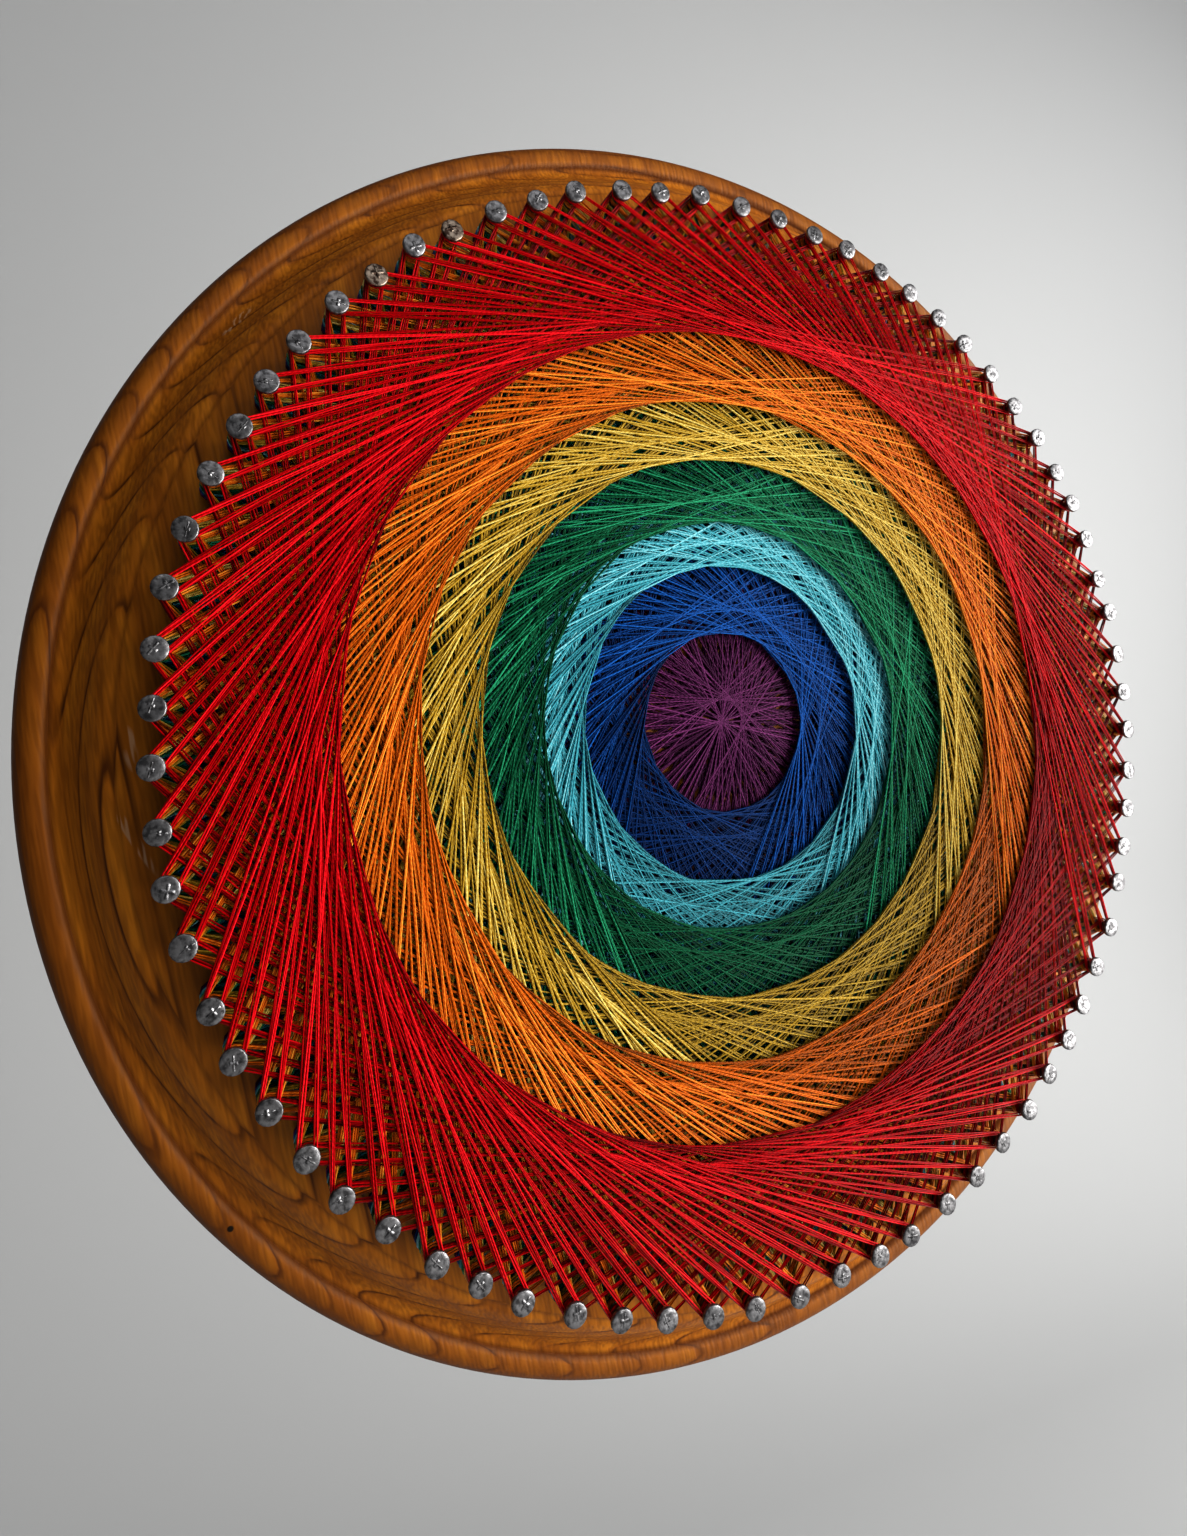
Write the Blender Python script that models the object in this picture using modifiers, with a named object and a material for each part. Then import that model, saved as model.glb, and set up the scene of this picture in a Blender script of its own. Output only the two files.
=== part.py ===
# String art on a round wooden plaque. Seven threads are wound in turn round one ring
# of nails, each across fewer nails than the one below it, so that the webs step down
# to the centre like a well. Everything is modelled lying on its back, with X to the
# right, Y up the wall and Z out of the wall, and one empty then stands it up: the back
# lies on the plane Y = 0, the front faces -Y, and the origin is the centre of the back.
import math
import random
from collections import namedtuple

import bmesh
import bpy
from mathutils import Vector

# Driving dimensions, in metres
NAIL_COUNT = 72
NAIL_RING_RADIUS = 0.122
NAIL_PROUD = 0.012
NAIL_SUNK = 0.006
SHANK_RADIUS = 0.001
HEAD_RADIUS = 0.0024
HEAD_THICKNESS = 0.0009
BOARD_THICKNESS = 0.016
WEB_THICKNESS = 0.0011
WEB_PITCH = 0.0015
CLEARANCE = 0.0003

# The nails are spaced by eye: the first one's angle, and how far each strays
FIRST_NAIL_ANGLE = math.radians(104.4)
NAIL_DRIFT_ANGLE = math.radians(0.35)
NAIL_DRIFT_RADIUS = 0.0004
NAIL_SEED = 7

# The routed edge, from the flat front outwards
FLAT_RADIUS = 0.1285
SOFT_LINE_WIDTH = 0.0008
SOFT_LINE_DROP = 0.0007
GROOVE_RADIUS = 0.1414
GROOVE_HEIGHT = 0.0066
BEAD_RADIUS = 0.0044
BEAD_CENTRE_RADIUS = 0.1436
BEAD_CENTRE_HEIGHT = 0.0032
BEAD_START_ANGLE = math.radians(112)

# A thread's lines leave each nail as a band this wide, and run this far inside
# the straight line between two nails
BAND_WIDTH = 0.0018
THREAD_OFFSET = 0.0011

NAIL_STEP = math.tau / NAIL_COUNT
HALF_STEP = NAIL_STEP / 2
SHARP_ANGLE = math.radians(50)
BOARD_SEGMENTS = 60
NAIL_SEGMENTS = 8
OGEE_SEGMENTS = 5
BEAD_SEGMENTS = 5
HOLE_SEGMENTS = 36

# The webs from the wood upwards. nails_crossed is how many nails on the thread goes
# at each throw, which sets the size of the hole in the middle.
Web = namedtuple("Web", "name nails_crossed open_middle gaps_cut colour")
WEBS = (
    Web("purple", 36, False, False, (0.16, 0.012, 0.13)),
    Web("blue", 32, True, False, (0.01, 0.10, 0.42)),
    Web("cyan", 29, True, False, (0.10, 0.56, 0.60)),
    Web("green", 27, True, False, (0.005, 0.15, 0.06)),
    Web("yellow", 24, True, True, (0.82, 0.58, 0.06)),
    Web("orange", 21, True, True, (0.85, 0.20, 0.01)),
    Web("red", 17, True, True, (0.68, 0.004, 0.01)),
)

Finish = namedtuple("Finish", "name colour roughness metallic")
WOOD = Finish("varnished_wood", (0.42, 0.17, 0.045), 0.35, 0.0)


def clear_scene():
    """Remove what the file opened with."""
    for thing in list(bpy.data.objects):
        bpy.data.objects.remove(thing)


def collection(name):
    """A new collection in the scene."""
    made = bpy.data.collections.new(name)
    bpy.context.scene.collection.children.link(made)
    return made


def material(finish):
    """A Principled material with one colour."""
    made = bpy.data.materials.new(finish.name)
    made.use_nodes = True
    shader = made.node_tree.nodes["Principled BSDF"]
    shader.inputs["Base Color"].default_value = (*finish.colour, 1.0)
    shader.inputs["Roughness"].default_value = finish.roughness
    shader.inputs["Metallic"].default_value = finish.metallic
    return made


def polar(radius, angle):
    """A point of the plan, by its distance from the centre and its angle."""
    return Vector((radius * math.cos(angle), radius * math.sin(angle)))


def nail_places():
    """Where each nail stands, clockwise, a little off the even ring."""
    stray = random.Random(NAIL_SEED)
    places = []
    for number in range(NAIL_COUNT):
        angle = FIRST_NAIL_ANGLE - NAIL_STEP * number
        angle += stray.uniform(-NAIL_DRIFT_ANGLE, NAIL_DRIFT_ANGLE)
        radius = NAIL_RING_RADIUS + stray.uniform(-NAIL_DRIFT_RADIUS, NAIL_DRIFT_RADIUS)
        places.append(polar(radius, angle))
    return places


def board_profile():
    """The plaque's section as (radius, height), from the centre of the front,
    out over the routed edge, and back to the centre of the back."""
    points = [(0.0, BOARD_THICKNESS), (FLAT_RADIUS, BOARD_THICKNESS)]
    ogee_radius = FLAT_RADIUS + SOFT_LINE_WIDTH
    ogee_height = BOARD_THICKNESS - SOFT_LINE_DROP
    for step in range(OGEE_SEGMENTS + 1):
        along = step / OGEE_SEGMENTS
        fall = (1 - math.cos(math.pi * along)) / 2
        points.append((
            ogee_radius + (GROOVE_RADIUS - ogee_radius) * along,
            ogee_height + (GROOVE_HEIGHT - ogee_height) * fall,
        ))
    bead_end_angle = -math.asin(BEAD_CENTRE_HEIGHT / BEAD_RADIUS)
    for step in range(BEAD_SEGMENTS + 1):
        angle = BEAD_START_ANGLE + (bead_end_angle - BEAD_START_ANGLE) * step / BEAD_SEGMENTS
        points.append((
            BEAD_CENTRE_RADIUS + BEAD_RADIUS * math.cos(angle),
            max(0.0, BEAD_CENTRE_HEIGHT + BEAD_RADIUS * math.sin(angle)),
        ))
    points.append((0.0, 0.0))
    return points


def turned_board(parts):
    """The wooden disc, turned from its section."""
    mesh = bpy.data.meshes.new("plaque_section")
    vertices = [(radius, 0.0, height) for radius, height in board_profile()]
    edges = [(number, number + 1) for number in range(len(vertices) - 1)]
    mesh.from_pydata(vertices, edges, [])
    board = bpy.data.objects.new("plaque_with_nails", mesh)
    parts.objects.link(board)
    screw = board.modifiers.new("turning", "SCREW")
    screw.steps = BOARD_SEGMENTS
    screw.render_steps = BOARD_SEGMENTS
    screw.use_merge_vertices = True
    screw.merge_threshold = 0.00005
    mesh.materials.append(material(WOOD))
    return board


def nail_form():
    """One nail, turned from its section: point end, shank and flat head."""
    bottom = BOARD_THICKNESS - NAIL_SUNK
    top = BOARD_THICKNESS + NAIL_PROUD
    section = (
        (0.0, bottom),
        (SHANK_RADIUS, bottom),
        (SHANK_RADIUS, top - HEAD_THICKNESS),
        (HEAD_RADIUS, top - HEAD_THICKNESS),
        (HEAD_RADIUS, top),
        (0.0, top),
    )
    form = bmesh.new()
    corners = [form.verts.new((radius, 0.0, height)) for radius, height in section]
    lines = [form.edges.new(pair) for pair in zip(corners, corners[1:])]
    bmesh.ops.spin(
        form, geom=corners + lines, cent=(0, 0, 0), axis=(0, 0, 1),
        angle=math.tau, steps=NAIL_SEGMENTS, use_merge=True,
    )
    bmesh.ops.remove_doubles(form, verts=form.verts, dist=0.00001)
    bmesh.ops.recalc_face_normals(form, faces=form.faces)
    mesh = bpy.data.meshes.new("nail")
    form.to_mesh(mesh)
    form.free()
    mesh.shade_smooth()
    mesh.set_sharp_from_angle(angle=SHARP_ANGLE)
    return mesh


def nail_ring(places, cutters):
    """All the nails where they stand, as one set to be joined to the wood."""
    nail = nail_form()
    form = bmesh.new()
    for place in places:
        placed = len(form.verts)
        form.from_mesh(nail)
        form.verts.ensure_lookup_table()
        bmesh.ops.translate(form, verts=form.verts[placed:], vec=(place.x, place.y, 0.0))
    mesh = bpy.data.meshes.new("nail_ring")
    form.to_mesh(mesh)
    form.free()
    nails = bpy.data.objects.new("nail_ring", mesh)
    nails.hide_render = True
    nails.display_type = "WIRE"
    cutters.objects.link(nails)
    return nails


def crossing(distance_a, angle_a, distance_b, angle_b):
    """Where two straight lines meet, each given by its distance from the centre
    and the angle at which it is nearest to it."""
    turn = math.sin(angle_b - angle_a)
    return Vector((
        (distance_a * math.sin(angle_b) - distance_b * math.sin(angle_a)) / turn,
        (distance_b * math.cos(angle_a) - distance_a * math.cos(angle_b)) / turn,
    ))


def web_star(web, places):
    """The web's outer edge: a point just inside each nail's shank, and between
    two nails the notch where their outermost lines cross."""
    outer_line = NAIL_RING_RADIUS * math.cos(HALF_STEP * (web.nails_crossed - 1))
    notch_radius = outer_line / math.cos(HALF_STEP * (web.nails_crossed - 2))
    outline = []
    for number, place in enumerate(places):
        outline.append(place - place.normalized() * (SHANK_RADIUS + CLEARANCE))
        middle = FIRST_NAIL_ANGLE - NAIL_STEP * (number + 0.5)
        outline.append(polar(notch_radius, middle))
    return outline


def web_gap(web, angle):
    """The open diamond below one nail, between its own two bands and those of
    the nails beside it."""
    crossed = web.nails_crossed
    outer_line = NAIL_RING_RADIUS * math.cos(HALF_STEP * (crossed - 1))
    inner_line = NAIL_RING_RADIUS * math.cos(HALF_STEP * crossed) - BAND_WIDTH
    own = HALF_STEP * crossed
    other = HALF_STEP * (crossed - 3)
    return [
        polar(inner_line / math.cos(own), angle),
        crossing(inner_line, angle + own, outer_line, angle - other),
        polar(outer_line / math.cos(other), angle),
        crossing(inner_line, angle - own, outer_line, angle + other),
    ]


def web_hole(web):
    """The round hole that the innermost lines leave in the middle."""
    radius = NAIL_RING_RADIUS * math.cos(HALF_STEP * web.nails_crossed) - THREAD_OFFSET
    turn = math.tau / HOLE_SEGMENTS
    return [polar(radius, FIRST_NAIL_ANGLE + turn * step) for step in range(HOLE_SEGMENTS)]


def wound_web(web, level, places, parts):
    """One thread's web, as a flat sheet with its outline, hole and largest gaps."""
    outlines = [web_star(web, places)]
    if web.open_middle:
        outlines.append(web_hole(web))
    if web.gaps_cut:
        for number in range(NAIL_COUNT):
            outlines.append(web_gap(web, FIRST_NAIL_ANGLE - NAIL_STEP * number))
    name = "thread_" + web.name
    curve = bpy.data.curves.new(name, "CURVE")
    curve.dimensions = "2D"
    curve.fill_mode = "BOTH"
    curve.extrude = WEB_THICKNESS / 2
    for outline in outlines:
        spline = curve.splines.new("POLY")
        spline.points.add(len(outline) - 1)
        for point, place in zip(spline.points, outline):
            point.co = (place.x, place.y, 0.0, 1.0)
        spline.use_cyclic_u = True
    sheet = bpy.data.objects.new(name, curve)
    lowest = BOARD_THICKNESS + WEB_PITCH - WEB_THICKNESS
    sheet.location.z = lowest + WEB_PITCH * level + WEB_THICKNESS / 2
    curve.materials.append(material(Finish(name, web.colour, 0.45, 0.0)))
    parts.objects.link(sheet)
    return sheet


def build():
    """The whole piece, stood up against its wall."""
    clear_scene()
    parts = collection("string_art_plaque")
    cutters = collection("joined_pieces")
    wall = bpy.data.objects.new("wall_face", None)
    wall.rotation_euler.x = math.pi / 2
    parts.objects.link(wall)

    places = nail_places()
    board = turned_board(parts)
    nails = nail_ring(places, cutters)
    nails.parent = wall
    joined = board.modifiers.new("hammered_in", "BOOLEAN")
    joined.operation = "UNION"
    joined.solver = "EXACT"
    joined.object = nails
    board.parent = wall
    for level, web in enumerate(WEBS):
        wound_web(web, level, places, parts).parent = wall


build()
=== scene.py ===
import math
import random

import bmesh
import bpy
from mathutils import Matrix, Vector


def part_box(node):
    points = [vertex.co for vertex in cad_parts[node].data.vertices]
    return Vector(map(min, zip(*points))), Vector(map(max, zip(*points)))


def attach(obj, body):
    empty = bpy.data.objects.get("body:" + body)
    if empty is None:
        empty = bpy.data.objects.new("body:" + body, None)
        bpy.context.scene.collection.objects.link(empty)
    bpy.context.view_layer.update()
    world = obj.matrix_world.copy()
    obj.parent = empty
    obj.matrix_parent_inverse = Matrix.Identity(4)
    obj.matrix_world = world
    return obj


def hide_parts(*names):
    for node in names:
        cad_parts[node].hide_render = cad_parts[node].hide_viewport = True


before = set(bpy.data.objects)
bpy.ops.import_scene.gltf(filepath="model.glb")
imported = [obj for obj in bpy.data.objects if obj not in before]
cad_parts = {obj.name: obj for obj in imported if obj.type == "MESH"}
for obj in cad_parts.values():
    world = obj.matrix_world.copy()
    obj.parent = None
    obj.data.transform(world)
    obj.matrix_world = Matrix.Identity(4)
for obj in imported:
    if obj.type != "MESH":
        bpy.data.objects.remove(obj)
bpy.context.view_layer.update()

# Camera. It stands left of the plaque, a hand's length from its front, and looks to the
# right and slightly up past the middle, as the photograph was taken. Its lens is wide.
PHOTO_HEIGHT = 1536
SENSOR_MM = 36.0
FOCAL_PIXELS = 806.8
VIEW_CENTRE_PIXELS = (-80.0, -100.0)
CAMERA_PLACE = Vector((-0.1097, -0.1797, -0.0049))
CAMERA_TURN = math.radians(19.56)
CAMERA_LIFT = math.radians(5.28)

lens = bpy.data.cameras.new("photo_camera")
lens.sensor_width = SENSOR_MM
lens.lens = FOCAL_PIXELS / PHOTO_HEIGHT * SENSOR_MM
lens.shift_x = -VIEW_CENTRE_PIXELS[0] / PHOTO_HEIGHT
lens.shift_y = VIEW_CENTRE_PIXELS[1] / PHOTO_HEIGHT
lens.clip_start = 0.01
camera = bpy.data.objects.new("photo_camera", lens)
camera.location = CAMERA_PLACE
camera.rotation_euler = (math.pi / 2 + CAMERA_LIFT, 0.0, -CAMERA_TURN)
bpy.context.scene.collection.objects.link(camera)
bpy.context.scene.camera = camera


# Studio sweep. A pale painted sheet lies far below the plaque and curves up well behind
# it, without touching it. It is stage, not part of the object.
SWEEP_FLOOR = -0.70
SWEEP_BACK = 0.95
SWEEP_BEND = 0.45
SWEEP_FRONT = -2.6
SWEEP_HALF_WIDTH = 3.2
SWEEP_TOP = 2.6
SWEEP_BEND_STEPS = 12
SWEEP_GREY = (0.485, 0.488, 0.488)
SWEEP_ROUGHNESS = 0.9


def finish_shader(name):
    """A new material, its node tree and its shader."""
    made = bpy.data.materials.new(name)
    made.use_nodes = True
    return made, made.node_tree, made.node_tree.nodes["Principled BSDF"]


def put(tree, kind, inputs=None, **settings):
    """Add a shader node, set its options, and fill or link its inputs."""
    node = tree.nodes.new(kind)
    for name, value in settings.items():
        setattr(node, name, value)
    for name, value in (inputs or {}).items():
        if isinstance(value, bpy.types.NodeSocket):
            tree.links.new(value, node.inputs[name])
        else:
            node.inputs[name].default_value = value
    return node


def add_piece(name, form, finish):
    """Make a finished bmesh an object of the scene, at the origin."""
    mesh = bpy.data.meshes.new(name)
    form.to_mesh(mesh)
    form.free()
    mesh.materials.append(finish)
    piece = bpy.data.objects.new(name, mesh)
    bpy.context.scene.collection.objects.link(piece)
    return piece


def studio_sweep():
    finish, tree, shader = finish_shader("pale_sweep")
    shader.inputs["Base Color"].default_value = (*SWEEP_GREY, 1.0)
    shader.inputs["Roughness"].default_value = SWEEP_ROUGHNESS
    section = [(SWEEP_FRONT, SWEEP_FLOOR)]
    for step in range(SWEEP_BEND_STEPS + 1):
        turn = math.pi / 2 * step / SWEEP_BEND_STEPS
        section.append((
            SWEEP_BACK - SWEEP_BEND + SWEEP_BEND * math.sin(turn),
            SWEEP_FLOOR + SWEEP_BEND - SWEEP_BEND * math.cos(turn),
        ))
    section.append((SWEEP_BACK, SWEEP_TOP))
    form = bmesh.new()
    corners = [form.verts.new((-SWEEP_HALF_WIDTH, depth, height)) for depth, height in section]
    lines = [form.edges.new(pair) for pair in zip(corners, corners[1:])]
    drawn = bmesh.ops.extrude_edge_only(form, edges=lines)
    new_corners = [item for item in drawn["geom"] if isinstance(item, bmesh.types.BMVert)]
    bmesh.ops.translate(form, verts=new_corners, vec=(2 * SWEEP_HALF_WIDTH, 0, 0))
    bmesh.ops.reverse_faces(form, faces=form.faces)
    sweep = add_piece("studio_sweep", form, finish)
    sweep.data.shade_smooth()


studio_sweep()


# Light. One wide soft panel stands to the right, like a window, and a weaker one fills in
# from high up in front of the plaque. A third lights the sweep from far to the right. The
# room behind the camera is dim.
WORLD_GREY = (0.060, 0.062, 0.066)
VIEW_GAMMA = 0.88


def soft_panel(name, place, aim, size, power, colour):
    """An area light at one place, turned to face another."""
    panel = bpy.data.lights.new(name, "AREA")
    panel.shape = "RECTANGLE"
    panel.size, panel.size_y = size
    panel.energy = power
    panel.color = colour
    lamp = bpy.data.objects.new(name, panel)
    lamp.location = place
    lamp.rotation_euler = (Vector(aim) - Vector(place)).to_track_quat("-Z", "Y").to_euler()
    bpy.context.scene.collection.objects.link(lamp)


soft_panel(
    "window", place=(1.45, -1.05, 0.05), aim=(0, 0, 0), size=(1.6, 1.6),
    power=70.0, colour=(1.0, 0.99, 0.97),
)
soft_panel(
    "high_fill", place=(0.1, -1.2, 1.3), aim=(0, 0, 0), size=(1.6, 1.0),
    power=7.0, colour=(0.97, 0.98, 1.0),
)
soft_panel(
    "sweep_wash", place=(2.4, -0.6, 1.2), aim=(1.9, 0.95, 0.4), size=(1.0, 1.0),
    power=24.0, colour=(1.0, 1.0, 1.0),
)
world = bpy.data.worlds.new("studio")
world.use_nodes = True
world.node_tree.nodes["Background"].inputs["Color"].default_value = (*WORLD_GREY, 1.0)
bpy.context.scene.world = world
bpy.context.scene.view_settings.view_transform = "Standard"
bpy.context.scene.view_settings.gamma = VIEW_GAMMA


# Plaque. A disc of light hardwood, sawn from one plank and turned flat, its edge cut
# with a router to a bead, a groove and a wide ogee, then stained and varnished.
NODE_PLAQUE = "plaque_with_nails"
BOARD_THICKNESS = 0.016
FLAT_RADIUS = 0.1285
SOFT_LINE_WIDTH = 0.0008
SOFT_LINE_DROP = 0.0007
GROOVE_RADIUS = 0.1414
GROOVE_HEIGHT = 0.0066
BEAD_RADIUS = 0.0044
BEAD_CENTRE_RADIUS = 0.1436
BEAD_CENTRE_HEIGHT = 0.0032
BEAD_START_ANGLE = math.radians(112)
OGEE_STEPS = 14
BEAD_STEPS = 12
PLAQUE_STEPS = 240
FLAT_RINGS = (0.04, 0.08, 0.11)

GRAIN_LEAN = math.radians(12)
PITH_ACROSS = 0.030
PITH_BEHIND = 0.500
RING_SPACING = 0.0026
WANDER_SCALE = 14.0
WANDER_REACH = 0.008
FIBRE_SCALE = 1500.0
STREAK_SCALE = 240.0
WOOD_PALE = (0.540, 0.184, 0.010)
WOOD_MIDDLE = (0.425, 0.129, 0.006)
WOOD_DARK = (0.100, 0.024, 0.0015)
# The wood is darker along the groove and the soft line, and the outer edge is painted
# darker as painted shade: each place has its radius, half its width and its depth.
DARK_LINES_AND_EDGE_SHADE = (
    (GROOVE_RADIUS + 0.0002, 0.0010, 0.85),
    (FLAT_RADIUS + 0.0005, 0.0007, 0.45),
    (BEAD_CENTRE_RADIUS + BEAD_RADIUS, 0.0080, 0.95),
)
SCUFF = (0.62, 0.42, 0.26)
# Each scuff: its middle across and up, the turn of its length, half its length and width.
SCUFFS = (
    ((-0.1262, -0.0060), 100, 0.0045, 0.0014),
    ((-0.1250, -0.0222), 122, 0.0095, 0.0010),
    ((-0.1100, 0.0830), 52, 0.0050, 0.0010),
)
# A small hole in the bead, painted near-black as the painted shade inside it.
KNOT_HOLE = (-0.1060, -0.0975)
KNOT_HOLE_RADIUS = 0.0007
KNOT_HOLE_SHADE = (0.004, 0.002, 0.001)
# Darkened lines, painted edge shade, wear and the hole are on the front alone: they fade in over this
# depth from the back face.
FRONT_MARKS_START = -0.0005
FRONT_MARKS_FULL = -0.0025


def plaque_section():
    """The section as (radius, height), out along the front and back under the edge."""
    points = [(0.0, BOARD_THICKNESS)]
    points += [(radius, BOARD_THICKNESS) for radius in FLAT_RINGS]
    points.append((FLAT_RADIUS, BOARD_THICKNESS))
    ogee_radius = FLAT_RADIUS + SOFT_LINE_WIDTH
    ogee_height = BOARD_THICKNESS - SOFT_LINE_DROP
    for step in range(OGEE_STEPS + 1):
        along = step / OGEE_STEPS
        fall = (1 - math.cos(math.pi * along)) / 2
        points.append((
            ogee_radius + (GROOVE_RADIUS - ogee_radius) * along,
            ogee_height + (GROOVE_HEIGHT - ogee_height) * fall,
        ))
    bead_end_angle = -math.asin(BEAD_CENTRE_HEIGHT / BEAD_RADIUS)
    for step in range(BEAD_STEPS + 1):
        angle = BEAD_START_ANGLE + (bead_end_angle - BEAD_START_ANGLE) * step / BEAD_STEPS
        points.append((
            BEAD_CENTRE_RADIUS + BEAD_RADIUS * math.cos(angle),
            max(0.0, BEAD_CENTRE_HEIGHT + BEAD_RADIUS * math.sin(angle)),
        ))
    points.append((0.0, 0.0))
    return points


def stand_up(form):
    """Turn a form that was made lying on its back upright, its front to -Y."""
    upright = Matrix.Rotation(math.pi / 2, 3, "X")
    bmesh.ops.rotate(form, verts=form.verts, cent=(0, 0, 0), matrix=upright)


def turn_section(form, section, steps):
    """Turn a section of (radius, height) points once round the upright axis."""
    corners = [form.verts.new((radius, 0.0, height)) for radius, height in section]
    lines = [form.edges.new(pair) for pair in zip(corners, corners[1:])]
    bmesh.ops.spin(
        form, geom=corners + lines, cent=(0, 0, 0), axis=(0, 0, 1),
        angle=math.tau, steps=steps, use_merge=True,
    )
    bmesh.ops.remove_doubles(form, verts=form.verts, dist=0.000005)
    bmesh.ops.recalc_face_normals(form, faces=form.faces)


def tone(tree, factor, stops):
    """A colour ramp of (place, colour) stops."""
    node = put(tree, "ShaderNodeValToRGB", {"Fac": factor})
    ramp = node.color_ramp
    while len(ramp.elements) < len(stops):
        ramp.elements.new(0.5)
    for element, (place, colour) in zip(ramp.elements, stops):
        element.position = place
        element.color = (*colour, 1.0)
    return node.outputs["Color"]


def blend_colour(tree, factor, first, second, kind="MIX"):
    """Mix two colours, either of them a socket or a value."""
    node = put(
        tree, "ShaderNodeMix", {0: factor, 6: first, 7: second},
        data_type="RGBA", blend_type=kind,
    )
    return node.outputs[2]


def oval_spot(tree, place, middle, turn, length, width):
    """One inside an oval on the front of the board, and nothing outside it."""
    local = put(
        tree, "ShaderNodeMapping",
        {
            "Vector": place,
            "Location": (middle[0], 0.0, middle[1]),
            "Rotation": (0.0, math.radians(-turn), 0.0),
            "Scale": (length, 1.0, width),
        },
        vector_type="TEXTURE",
    ).outputs["Vector"]
    reach = put(tree, "ShaderNodeVectorMath", {0: local}, operation="LENGTH").outputs["Value"]
    return put(
        tree, "ShaderNodeMapRange",
        {"Value": reach, "From Min": 0.7, "From Max": 1.0, "To Min": 1.0, "To Max": 0.0},
    ).outputs["Result"]


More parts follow.
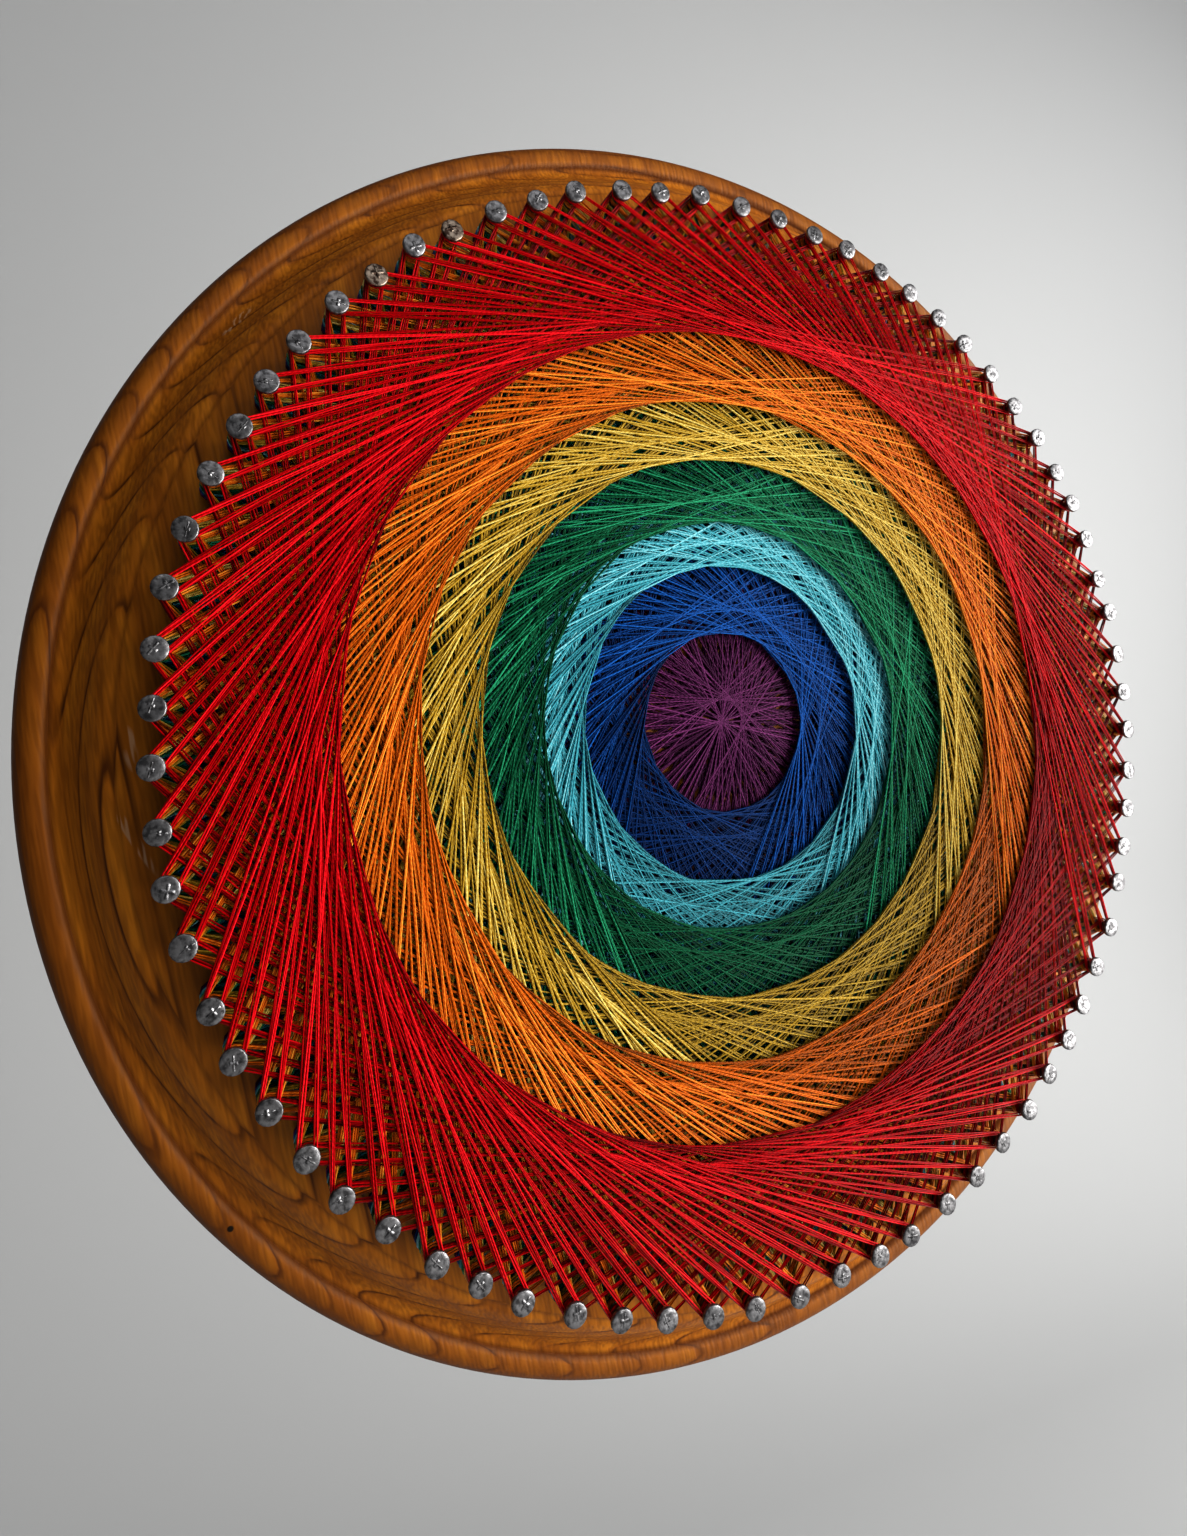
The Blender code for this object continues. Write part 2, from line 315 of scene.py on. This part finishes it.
def varnished_wood():
    finish, tree, shader = finish_shader("varnished_wood")
    place = put(tree, "ShaderNodeTexCoord").outputs["Object"]
    plank = put(
        tree, "ShaderNodeMapping",
        {"Vector": place, "Rotation": (0.0, GRAIN_LEAN, 0.0)},
    ).outputs["Vector"]
    long_plank = put(
        tree, "ShaderNodeMapping", {"Vector": plank, "Scale": (1.0, 1.0, 0.10)},
    ).outputs["Vector"]

    wander = put(
        tree, "ShaderNodeTexNoise",
        {"Vector": put(
            tree, "ShaderNodeMapping", {"Vector": plank, "Scale": (1.0, 1.0, 0.4)},
        ).outputs["Vector"], "Scale": WANDER_SCALE, "Detail": 0.0},
    ).outputs["Color"]
    centred = put(
        tree, "ShaderNodeVectorMath", {0: wander, 1: (0.5, 0.5, 0.5)}, operation="SUBTRACT",
    ).outputs["Vector"]
    shift = put(
        tree, "ShaderNodeVectorMath", {0: centred, "Scale": WANDER_REACH}, operation="SCALE",
    ).outputs["Vector"]
    bent = put(tree, "ShaderNodeVectorMath", {0: plank, 1: shift}, operation="ADD").outputs["Vector"]
    from_pith = put(
        tree, "ShaderNodeVectorMath", {0: bent, 1: (PITH_ACROSS, PITH_BEHIND, 0.0)},
        operation="SUBTRACT",
    ).outputs["Vector"]
    across = put(
        tree, "ShaderNodeVectorMath", {0: from_pith, 1: (1.0, 1.0, 0.0)}, operation="MULTIPLY",
    ).outputs["Vector"]
    distance = put(tree, "ShaderNodeVectorMath", {0: across}, operation="LENGTH").outputs["Value"]
    years = put(
        tree, "ShaderNodeMath", {0: distance, 1: 1 / RING_SPACING}, operation="MULTIPLY",
    ).outputs[0]
    season = put(tree, "ShaderNodeMath", {0: years}, operation="FRACT").outputs[0]
    rings = tone(tree, season, (
        (0.0, WOOD_MIDDLE), (0.10, WOOD_PALE), (0.84, WOOD_MIDDLE), (0.94, WOOD_DARK),
        (0.96, WOOD_DARK), (1.0, WOOD_MIDDLE),
    ))

    fibres = put(
        tree, "ShaderNodeTexNoise", {"Vector": long_plank, "Scale": FIBRE_SCALE, "Detail": 0.0},
    ).outputs["Fac"]
    streaks = put(
        tree, "ShaderNodeTexNoise", {"Vector": long_plank, "Scale": STREAK_SCALE, "Detail": 1.0},
    ).outputs["Fac"]
    ring_strength = tone(tree, streaks, ((0.38, (0.25, 0.25, 0.25)), (0.62, (1.0, 1.0, 1.0))))
    ringed = blend_colour(tree, ring_strength, WOOD_MIDDLE + (1.0,), rings)
    streaky = blend_colour(
        tree, 0.5, ringed,
        tone(tree, streaks, ((0.30, (0.60, 0.52, 0.45)), (0.60, (1.0, 1.0, 1.0)))), "MULTIPLY",
    )
    fibrous = blend_colour(
        tree, 0.5, streaky,
        tone(tree, fibres, ((0.35, (0.55, 0.50, 0.45)), (0.62, (1.1, 1.1, 1.1)))), "MULTIPLY",
    )
    worn_and_shaded = fibrous
    front = put(
        tree, "ShaderNodeMapRange",
        {
            "Value": put(tree, "ShaderNodeSeparateXYZ", {"Vector": place}).outputs["Y"],
            "From Min": FRONT_MARKS_START, "From Max": FRONT_MARKS_FULL,
        },
    ).outputs["Result"]
    across_board = put(
        tree, "ShaderNodeVectorMath", {0: place, 1: (1.0, 0.0, 1.0)}, operation="MULTIPLY",
    ).outputs["Vector"]
    radius = put(tree, "ShaderNodeVectorMath", {0: across_board}, operation="LENGTH").outputs["Value"]
    # Darker rings: along the groove and the soft line, and painted shade on the outer edge.
    for line_radius, half_width, depth in DARK_LINES_AND_EDGE_SHADE:
        off_line = put(
            tree, "ShaderNodeMath", {0: radius, 1: line_radius}, operation="SUBTRACT",
        ).outputs[0]
        off_line = put(tree, "ShaderNodeMath", {0: off_line}, operation="ABSOLUTE").outputs[0]
        darkening = put(
            tree, "ShaderNodeMapRange",
            {"Value": off_line, "From Max": half_width, "To Min": depth, "To Max": 0.0},
        ).outputs["Result"]
        darkening = put(tree, "ShaderNodeMath", {0: darkening, 1: front}, operation="MULTIPLY").outputs[0]
        worn_and_shaded = blend_colour(tree, darkening, worn_and_shaded, WOOD_DARK + (1.0,))
    rubbed = tone(tree, fibres, ((0.46, (0.0, 0.0, 0.0)), (0.60, (0.5, 0.5, 0.5))))
    rubbed = put(tree, "ShaderNodeMath", {0: rubbed, 1: front}, operation="MULTIPLY").outputs[0]
    for middle, turn, length, width in SCUFFS:
        spot = oval_spot(tree, place, middle, turn, length, width)
        spot = put(tree, "ShaderNodeMath", {0: spot, 1: rubbed}, operation="MULTIPLY").outputs[0]
        worn_and_shaded = blend_colour(tree, spot, worn_and_shaded, SCUFF + (1.0,))
    # Painted shade: the hole's dark inside is painted near-black.
    hole = oval_spot(tree, place, KNOT_HOLE, 0, KNOT_HOLE_RADIUS, KNOT_HOLE_RADIUS)
    hole = put(tree, "ShaderNodeMath", {0: hole, 1: front}, operation="MULTIPLY").outputs[0]
    worn_and_shaded = blend_colour(tree, hole, worn_and_shaded, KNOT_HOLE_SHADE + (1.0,))
    tree.links.new(worn_and_shaded, shader.inputs["Base Color"])

    rough = put(
        tree, "ShaderNodeMapRange", {"Value": fibres, "To Min": 0.42, "To Max": 0.62},
    ).outputs["Result"]
    tree.links.new(rough, shader.inputs["Roughness"])
    shader.inputs["Specular IOR Level"].default_value = 0.22
    shader.inputs["Specular Tint"].default_value = (1.0, 0.80, 0.55, 1.0)
    shader.inputs["Coat Weight"].default_value = 0.03
    shader.inputs["Coat Roughness"].default_value = 0.30
    bump = put(
        tree, "ShaderNodeBump", {"Strength": 0.3, "Distance": 0.0003, "Height": fibres},
    ).outputs["Normal"]
    tree.links.new(bump, shader.inputs["Normal"])
    return finish


def turned_plaque():
    form = bmesh.new()
    turn_section(form, plaque_section(), PLAQUE_STEPS)
    stand_up(form)
    plaque = add_piece("wooden_plaque", form, varnished_wood())
    plaque.data.shade_smooth()
    plaque.data.set_sharp_from_angle(angle=math.radians(42))
    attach(plaque, "root")
    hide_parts(NODE_PLAQUE)


turned_plaque()


# Nails. Plain steel wire nails with flat stamped heads, hammered in by eye along one
# ring, so that each leans and strays a little. Two of them have gone dark with rust.
NAIL_COUNT = 72
NAIL_STEP = math.tau / NAIL_COUNT
NAIL_RING_RADIUS = 0.122
NAIL_PROUD = 0.012
NAIL_SUNK = 0.003
SHANK_RADIUS = 0.0010
HEAD_RADIUS = 0.0024
HEAD_THICKNESS = 0.0009
HEAD_EDGE = 0.00022
FIRST_NAIL_ANGLE = math.radians(104.4)
NAIL_DRIFT_ANGLE = math.radians(0.35)
NAIL_DRIFT_RADIUS = 0.0004
NAIL_SEED = 7
NAIL_LEAN = math.radians(2.2)
LEAN_SEED = 19
NAIL_STEPS = 16
RUSTY_NAILS = (66, 68)
DISH_SHARE = 0.55
DISH_EDGE_DROP = 0.00003
DISH_MIDDLE_DROP = 0.00001
MARK_STRAY = 0.2
SHORT_ARM_RANGE = (1.0, 3.0)
HEAD_TILT = 0.07


def nail_places():
    """Where each nail goes into the wood, clockwise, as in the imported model."""
    stray = random.Random(NAIL_SEED)
    places = []
    for number in range(NAIL_COUNT):
        angle = FIRST_NAIL_ANGLE - NAIL_STEP * number
        angle += stray.uniform(-NAIL_DRIFT_ANGLE, NAIL_DRIFT_ANGLE)
        radius = NAIL_RING_RADIUS + stray.uniform(-NAIL_DRIFT_RADIUS, NAIL_DRIFT_RADIUS)
        places.append(Vector((radius * math.cos(angle), radius * math.sin(angle), BOARD_THICKNESS)))
    return places


def nail_leans():
    """How far each nail leans, sideways for each metre of height."""
    stray = random.Random(LEAN_SEED)
    reach = math.tan(NAIL_LEAN)
    return [
        Vector((stray.uniform(-reach, reach), stray.uniform(-reach, reach), 1.0))
        for number in range(NAIL_COUNT)
    ]


def nail_steel():
    finish, tree, shader = finish_shader("nail_steel")
    place = put(tree, "ShaderNodeTexCoord").outputs["Object"]
    rust = put(tree, "ShaderNodeAttribute", attribute_name="rust").outputs["Fac"]
    mottle = put(
        tree, "ShaderNodeTexNoise", {"Vector": place, "Scale": 900.0, "Detail": 3.0},
    ).outputs["Fac"]
    steel = tone(tree, mottle, ((0.36, (0.060, 0.058, 0.060)), (0.60, (0.25, 0.245, 0.25))))
    brown = tone(tree, mottle, ((0.42, (0.045, 0.026, 0.018)), (0.60, (0.30, 0.24, 0.19))))
    tree.links.new(blend_colour(tree, rust, steel, brown), shader.inputs["Base Color"])
    shader.inputs["Metallic"].default_value = 0.9
    rough = put(
        tree, "ShaderNodeMapRange", {"Value": mottle, "To Min": 0.45, "To Max": 0.28},
    ).outputs["Result"]
    tree.links.new(rough, shader.inputs["Roughness"])

    mark = put(tree, "ShaderNodeUVMap", uv_map="head_face").outputs["UV"]
    parts = put(tree, "ShaderNodeSeparateXYZ", {"Vector": mark})
    arms = []
    for along, aside in (("X", "Y"), ("Y", "X")):
        narrow = put(tree, "ShaderNodeMath", {0: parts.outputs[aside]}, operation="ABSOLUTE").outputs[0]
        narrow = put(
            tree, "ShaderNodeMapRange",
            {"Value": narrow, "From Min": 0.04, "From Max": 0.16, "To Min": 1.0, "To Max": 0.0},
        ).outputs["Result"]
        short = put(tree, "ShaderNodeMath", {0: parts.outputs[along]}, operation="ABSOLUTE").outputs[0]
        short = put(
            tree, "ShaderNodeMapRange",
            {"Value": short, "From Min": 0.40, "From Max": 0.60, "To Min": 1.0, "To Max": 0.0},
        ).outputs["Result"]
        arms.append(put(tree, "ShaderNodeMath", {0: narrow, 1: short}, operation="MULTIPLY").outputs[0])
    cross = put(tree, "ShaderNodeMath", {0: arms[0], 1: arms[1]}, operation="MAXIMUM").outputs[0]
    height = put(
        tree, "ShaderNodeMath", {0: mottle, 1: 0.5, 2: cross}, operation="MULTIPLY_ADD",
    ).outputs[0]
    bump = put(
        tree, "ShaderNodeBump", {"Strength": 0.9, "Distance": 0.00022, "Height": height},
    ).outputs["Normal"]
    tree.links.new(bump, shader.inputs["Normal"])
    return finish


def hammered_nails(places, leans):
    top = BOARD_THICKNESS + NAIL_PROUD
    section = (
        (0.0, BOARD_THICKNESS - NAIL_SUNK),
        (SHANK_RADIUS, BOARD_THICKNESS - NAIL_SUNK),
        (SHANK_RADIUS, top - HEAD_THICKNESS - HEAD_EDGE),
        (SHANK_RADIUS + HEAD_EDGE, top - HEAD_THICKNESS),
        (HEAD_RADIUS - HEAD_EDGE, top - HEAD_THICKNESS),
        (HEAD_RADIUS, top - HEAD_THICKNESS + HEAD_EDGE),
        (HEAD_RADIUS, top - HEAD_EDGE),
        (HEAD_RADIUS - HEAD_EDGE / 3, top - HEAD_EDGE / 3),
        (HEAD_RADIUS - HEAD_EDGE, top),
        (HEAD_RADIUS * DISH_SHARE, top - DISH_EDGE_DROP),
        (0.0, top - DISH_MIDDLE_DROP),
    )
    stray = random.Random(LEAN_SEED + 1)
    ring = bmesh.new()
    ring.verts.layers.float.new("rust")
    ring.loops.layers.uv.new("head_face")
    for number, (place, lean) in enumerate(zip(places, leans)):
        nail = bmesh.new()
        turn_section(nail, section, NAIL_STEPS)
        mark_turn = Matrix.Rotation(stray.uniform(0, math.tau), 3, "Z")
        mark_middle = Vector((
            stray.uniform(-MARK_STRAY, MARK_STRAY), stray.uniform(-MARK_STRAY, MARK_STRAY),
        ))
        short_arm = stray.uniform(*SHORT_ARM_RANGE)
        nail_map = nail.loops.layers.uv.new("head_face")
        for face in nail.faces:
            for loop in face.loops:
                mark = (mark_turn @ loop.vert.co).xy / HEAD_RADIUS - mark_middle
                loop[nail_map].uv = (mark.x, mark.y * short_arm)
        nail_rust = nail.verts.layers.float.new("rust")
        for vertex in nail.verts:
            vertex[nail_rust] = 1.0 if number in RUSTY_NAILS else 0.0
        head_tilt = Matrix.Rotation(stray.uniform(-HEAD_TILT, HEAD_TILT), 3, "X")
        head_tilt = head_tilt @ Matrix.Rotation(stray.uniform(-HEAD_TILT, HEAD_TILT), 3, "Y")
        for vertex in nail.verts:
            if vertex.co.z > top - HEAD_THICKNESS * 1.5:
                vertex.co = head_tilt @ (vertex.co - Vector((0, 0, top))) + Vector((0, 0, top))
            height = vertex.co.z - BOARD_THICKNESS
            vertex.co.x += place.x + lean.x * height
            vertex.co.y += place.y + lean.y * height
        single = bpy.data.meshes.new("nail")
        nail.to_mesh(single)
        nail.free()
        ring.from_mesh(single)
        bpy.data.meshes.remove(single)
    stand_up(ring)
    nails = add_piece("nail_ring", ring, nail_steel())
    nails.data.shade_smooth()
    nails.data.set_sharp_from_angle(angle=math.radians(50))
    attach(nails, "root")
    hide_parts(NODE_PLAQUE)


places = nail_places()
leans = nail_leans()
hammered_nails(places, leans)


# Purple thread, the first one wound. Doubled satin polyester sewing thread, led from a
# nail across the middle to the nail opposite, round it and back beside its last line, all
# round the ring, once each way, so that its lines cross close to the centre.
START_NAIL = 11
THREAD_RADIUS = 0.00017
STRANDS = 4
WRAP_RADIUS = SHANK_RADIUS + THREAD_RADIUS
STRAND_STEP = 0.00046
STRAND_STRAY = 0.00020
PAIR_SINK = 0.00020
RUN_PIECES = 16
DIP_START = 0.5
DIP_SHARE = 0.125
WRAP_STEPS = 5
THREAD_SIDES = 4
TWIST_PITCH = 0.0011
# How strongly the twist is painted into the colour: painted shade in its valleys, painted highlight on
# its crests.
TWIST_PAINTED_SHADING = 0.12
THREAD_ROUGHNESS = 0.32
THREAD_SPECULAR = 0.25
CLIMB = 0.00012
# Share of a thread's colour that is painted shade: the lower a line lies, the darker it is painted.
LAYER_PAINTED_SHADE = 0.50
SHADE_POWER = 1.5


def thread_visits(nails_crossed, low, high):
    """The nails that the thread goes round in turn, each with its height there. A nail's
    first turn lies low and its second one high, so that later lines lie on top."""
    count = 2 * NAIL_COUNT + 1
    seen = set()
    visits = []
    for visit in range(count):
        nail = START_NAIL + visit // 2 + (nails_crossed if visit % 2 else 0)
        nail %= NAIL_COUNT
        along = visit / count
        height = low + CLIMB * along if nail not in seen else high - CLIMB * (1 - along)
        seen.add(nail)
        visits.append((nail, height))
    return visits


def shank_centre(nail, height):
    """The middle of a leaning nail at one height."""
    return places[nail] + leans[nail] * (height - BOARD_THICKNESS)


def thread_line(nails_crossed, low, high, strand):
    """The points that one strand follows: a line from nail to nail and a turn round the
    far side of each. It leaves a nail on the outer side and comes to the next one on the
    side of the centre, or the other way about for the second pair. Past its middle, where
    it bounds the hole, a line dips from the upper layer to the lower one, since it lies
    over the lines before it and under the lines after it."""
    stray = random.Random(STRANDS * nails_crossed + strand)
    visits = thread_visits(nails_crossed, low, high)
    centres = [shank_centre(nail, height) for nail, height in visits]
    side = 1 if strand < 2 else -1
    reach = [
        WRAP_RADIUS + STRAND_STEP * (strand % 2) + stray.uniform(0, STRAND_STRAY)
        for visit in visits
    ]
    points = []
    for step, (here, there) in enumerate(zip(centres, centres[1:])):
        run = (there - here).xy.normalized()
        outward = Vector((-run.y, run.x)) * (side if step % 2 == 0 else -side)
        start = here + (outward * reach[step]).to_3d()
        end = there - (outward * reach[step + 1]).to_3d()
        if step:
            points += thread_turn(here, points[-1], start, came)
        came = run
        for piece in range(RUN_PIECES + 1):
            along = piece / RUN_PIECES
            point = start.lerp(end, along)
            dip = min(1.0, max(0.0, (along - DIP_START) / DIP_SHARE))
            point.z = start.z + (end.z - start.z) * dip
            points.append(point)
    return points


def thread_turn(centre, arrival, leaving, came):
    """The points between arriving at a nail and leaving it, round its far side."""
    first, last = (arrival - centre).xy, (leaving - centre).xy
    angle = math.atan2(first.y, first.x)
    turn = math.atan2(last.y, last.x) - angle
    turn = turn % math.tau if first.cross(came) > 0 else -(-turn % math.tau)
    points = []
    for step in range(1, WRAP_STEPS):
        along = step / WRAP_STEPS
        around = angle + turn * along
        radius = first.length + (last.length - first.length) * along
        points.append(centre + Vector((math.cos(around), math.sin(around), 0.0)) * radius)
    return points


def satin_thread(name, painted_shade_tone, full, shine_tone):
    """Twisted sewing thread: its colour is painted darker in the twist's valleys and paler where it
    shines, as painted shade and painted highlight.
    """
    finish, tree, shader = finish_shader(name)
    lay = put(tree, "ShaderNodeAttribute", attribute_name="lay").outputs["Vector"]
    shade = put(tree, "ShaderNodeAttribute", attribute_name="shade").outputs["Fac"]
    lay_parts = put(tree, "ShaderNodeSeparateXYZ", {"Vector": lay})
    turned = put(
        tree, "ShaderNodeMath", {0: lay_parts.outputs["Z"], 1: math.tau / TWIST_PITCH},
        operation="MULTIPLY",
    ).outputs[0]
    sine = put(tree, "ShaderNodeMath", {0: turned}, operation="SINE").outputs[0]
    cosine = put(tree, "ShaderNodeMath", {0: turned}, operation="COSINE").outputs[0]
    first = put(tree, "ShaderNodeMath", {0: sine, 1: lay_parts.outputs["X"]}, operation="MULTIPLY")
    ply = put(
        tree, "ShaderNodeMath", {0: cosine, 1: lay_parts.outputs["Y"], 2: first.outputs[0]},
        operation="MULTIPLY_ADD",
    ).outputs[0]
    # Painted shade and highlight: the twist and the line's shade move the colour between the shaded,
    # full and shining tones.
    light = put(
        tree, "ShaderNodeMath", {0: ply, 1: TWIST_PAINTED_SHADING, 2: shade}, operation="MULTIPLY_ADD",
    ).outputs[0]
    colour = tone(tree, light, ((0.10, painted_shade_tone), (0.60, full), (1.0, shine_tone)))
    tree.links.new(colour, shader.inputs["Base Color"])
    shader.inputs["Roughness"].default_value = THREAD_ROUGHNESS
    shader.inputs["Specular IOR Level"].default_value = THREAD_SPECULAR
    shader.inputs["Specular Tint"].default_value = (*shine_tone, 1.0)
    return finish


def round_tube(points):
    """A closed tube of one strand's thickness along its points, as a mesh."""
    curve = bpy.data.curves.new("strand", "CURVE")
    curve.dimensions = "3D"
    curve.bevel_depth = THREAD_RADIUS
    curve.bevel_resolution = (THREAD_SIDES - 4) // 2
    curve.use_fill_caps = True
    spline = curve.splines.new("POLY")
    spline.points.add(len(points) - 1)
    for point, place in zip(spline.points, points):
        point.co = (place.x, -place.z, place.y, 1.0)
    tube = bpy.data.objects.new("strand", curve)
    bpy.context.scene.collection.objects.link(tube)
    mesh = bpy.data.meshes.new_from_object(
        tube.evaluated_get(bpy.context.evaluated_depsgraph_get())
    )
    bpy.data.objects.remove(tube)
    bpy.data.curves.remove(curve)
    return mesh


def mark_strand(mesh, points, low, high, seed):
    """Note on each ring of a tube how the twist lies there, and its shade: each line has its
    own tone at random, and the lower layer is painted darker, as painted shade."""
    stray = random.Random(seed)
    travelled = 0.0
    shade = stray.random()
    lay, shades = [], []
    pieces_since_turn = 0
    for number, point in enumerate(points):
        length = (point - points[number - 1]).length if number else 0.0
        travelled += length
        if length < WRAP_RADIUS:
            pieces_since_turn = 0
        else:
            pieces_since_turn += 1
        if pieces_since_turn == 1:
            shade = stray.random() ** SHADE_POWER
        for side in range(THREAD_SIDES):
            angle = math.tau * side / THREAD_SIDES
            lay += [math.cos(angle), math.sin(angle), travelled]
            # Painted shade: the lower a line lies between low and high, the darker its colour.
            shades.append(LAYER_PAINTED_SHADE * (point.z - low) / (high - low) + (1 - LAYER_PAINTED_SHADE) * shade)
    spare = len(mesh.vertices) - len(shades)
    lay += lay[-3:] * spare
    shades += shades[-1:] * spare
    mesh.attributes.new("lay", "FLOAT_VECTOR", "POINT").data.foreach_set("vector", lay)
    mesh.attributes.new("shade", "FLOAT", "POINT").data.foreach_set("value", shades)


def wind_thread(node, nails_crossed, finish):
    """Wind one doubled thread, once one way round and once the other, in the height that
    its solid has."""
    lowest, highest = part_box(node)
    low = -highest[1] + THREAD_RADIUS
    high = -lowest[1] - THREAD_RADIUS
    wound = bmesh.new()
    for strand in range(STRANDS):
        sink = PAIR_SINK * (strand // 2)
        points = thread_line(nails_crossed, low + sink, high - sink, strand)
        mesh = round_tube(points)
        mark_strand(mesh, points, low, high, STRANDS * nails_crossed + strand)
        wound.from_mesh(mesh)
        bpy.data.meshes.remove(mesh)
    bmesh.ops.remove_doubles(wound, verts=wound.verts, dist=0.000001)
    thread = add_piece(node.replace("thread_", "wound_thread_"), wound, finish)
    thread.data.shade_smooth()
    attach(thread, "root")
    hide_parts(node)


wind_thread("thread_purple", 36, satin_thread(
    "purple_thread", (0.005, 0.0005, 0.004), (0.040, 0.0035, 0.030), (0.260, 0.050, 0.200)))

# Blue thread, the second. Wound like the first but across fewer nails, so that it misses
# the centre by two finger widths and leaves the smallest hole.
wind_thread("thread_blue", 32, satin_thread(
    "blue_thread", (0.0005, 0.003, 0.017), (0.0022, 0.028, 0.135), (0.015, 0.160, 0.600)))

# Light blue thread, the third, wound just above the blue and across fewer nails again.
# Of the seven it is the palest and has the most shine.
wind_thread("thread_cyan", 29, satin_thread(
    "light_blue_thread", (0.004, 0.050, 0.065), (0.058, 0.420, 0.500), (0.420, 0.900, 0.950)))

# Green thread, the fourth: a deep green satin thread with pale glints, wound close enough
# that its web looks nearly solid.
wind_thread("thread_green", 27, satin_thread(
    "green_thread", (0.0007, 0.012, 0.005), (0.003, 0.088, 0.034), (0.035, 0.440, 0.210)))

# Yellow thread, the fifth, golden in the shade and lemon in the light. From here up the
# bare gaps between the lines show dark.
wind_thread("thread_yellow", 24, satin_thread(
    "yellow_thread", (0.070, 0.036, 0.002), (0.560, 0.335, 0.024), (0.980, 0.820, 0.250)))

# Orange thread, the sixth, wound across a little more than a quarter of the ring.
wind_thread("thread_orange", 21, satin_thread(
    "orange_thread", (0.100, 0.016, 0.001), (0.700, 0.135, 0.006), (0.990, 0.400, 0.045)))

# Red thread, the seventh and last, wound close under the nail heads. It makes the widest
# hole and the broad outer band.
wind_thread("thread_red", 17, satin_thread(
    "red_thread", (0.050, 0.0002, 0.001), (0.440, 0.0010, 0.003), (0.960, 0.012, 0.022)))
